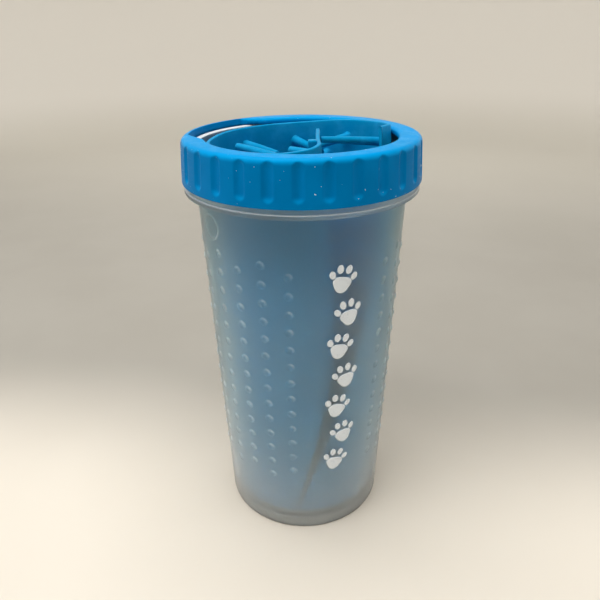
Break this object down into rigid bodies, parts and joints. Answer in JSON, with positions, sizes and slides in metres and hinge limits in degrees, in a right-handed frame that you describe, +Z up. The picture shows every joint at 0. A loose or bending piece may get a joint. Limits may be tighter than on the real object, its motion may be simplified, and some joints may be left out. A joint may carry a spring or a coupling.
{
  "type": "paw washer cup",
  "caption": "Tall tapered translucent tumbler with a fluted screw ring round its open mouth and a rolled, removable bristle mat inside that scrubs a dog's paw.",
  "frame": {"origin": "centre of the cup's round foot, on the surface it stands on", "axes": "+Z up along the cup's axis, -Y towards the front, +X to the right seen from the front"},
  "size_m": [0.1002, 0.1002, 0.183],
  "materials": {
    "cup_plastic": "frosted, milky translucent moulded plastic",
    "print_ink": "flat white pad print",
    "ring_plastic": "satin blue moulded plastic with light scuffs",
    "mat_silicone": "soft matte blue silicone"
  },
  "bodies": {
    "cup": {"cup_body": "cup_plastic", "neck_thread": "cup_plastic", "grip_dots_left": "cup_plastic", "grip_dots_right": "cup_plastic", "cup_badge": "cup_plastic", "side_print": "print_ink"},
    "ring_carrier": {"ring_land": "ring_plastic"},
    "ring": {"ring_shell": "ring_plastic", "ring_thread": "ring_plastic"},
    "mat": {"mat_sheet": "mat_silicone", "mat_lug": "mat_silicone", "bristle_row_01": "mat_silicone", "bristle_row_02": "mat_silicone", "bristle_row_03": "mat_silicone", "bristle_row_04": "mat_silicone", "bristle_row_05": "mat_silicone", "bristle_row_06": "mat_silicone", "bristle_row_07": "mat_silicone", "bristle_row_08": "mat_silicone", "bristle_row_09": "mat_silicone", "bristle_row_10": "mat_silicone", "bristle_row_11": "mat_silicone", "bristle_row_12": "mat_silicone"}
  },
  "joints": [
    {"name": "ring_rise", "type": "slide", "parent": "cup", "child": "ring_carrier", "axis": [0, 0, 1], "range_m": [0, 0.0081]},
    {"name": "ring_twist", "type": "hinge", "parent": "ring_carrier", "child": "ring", "pos_m": [0, 0, 0.174], "axis": [0, 0, 1], "range_deg": [0, 360]},
    {"name": "mat_lift", "type": "slide", "parent": "cup", "child": "mat", "axis": [0, 0, 1], "range_m": [0, 0.18]}
  ],
  "couplings": [
    {"joint": "ring_rise", "follows": "ring_twist", "m_per_rad": 0.0012732}
  ]
}
